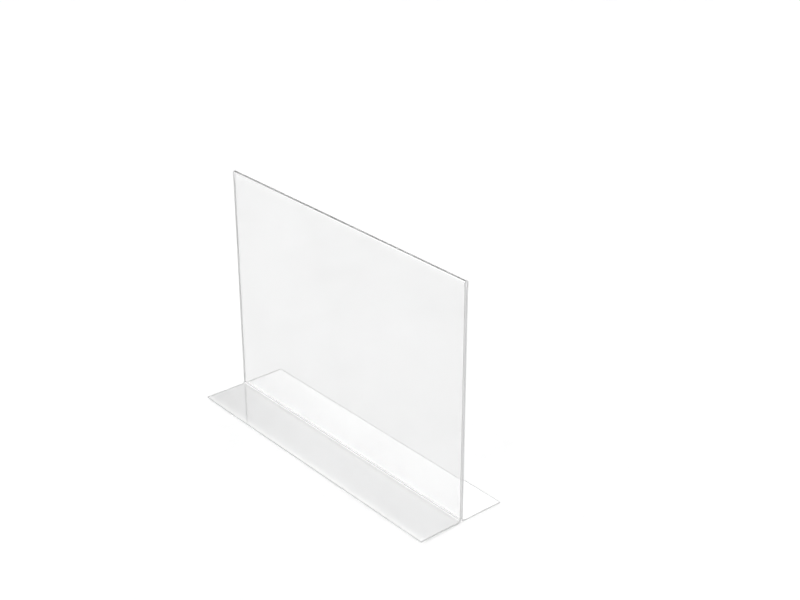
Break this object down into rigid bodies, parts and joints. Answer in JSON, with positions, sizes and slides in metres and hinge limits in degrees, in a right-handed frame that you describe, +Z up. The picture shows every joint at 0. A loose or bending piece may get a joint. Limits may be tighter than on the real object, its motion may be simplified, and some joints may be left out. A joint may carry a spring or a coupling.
{
  "type": "sneeze guard",
  "caption": "Clear acrylic table-top guard: a folded sheet makes an upright double-walled screen with a rounded top, standing on flat feet turned out to front and rear.",
  "frame": {"origin": "middle of the base, on the table plane, under the slot between the two panes", "axes": "+X along the width of the pane, +Y from the front foot towards the rear foot, +Z up"},
  "size_m": [0.297, 0.085, 0.2115],
  "materials": {
    "clear_acrylic": "polished"
  },
  "bodies": {
    "front_leaf": {"front_leaf": "clear_acrylic"},
    "rear_leaf": {"rear_leaf": "clear_acrylic"}
  },
  "joints": [
    {"name": "leaf_spread", "type": "hinge", "parent": "front_leaf", "child": "rear_leaf", "pos_m": [0, 0, 0.21075], "axis": [1, 0, 0], "range_deg": [0, 5], "stiffness_Nm_per_rad": 1.9}
  ]
}
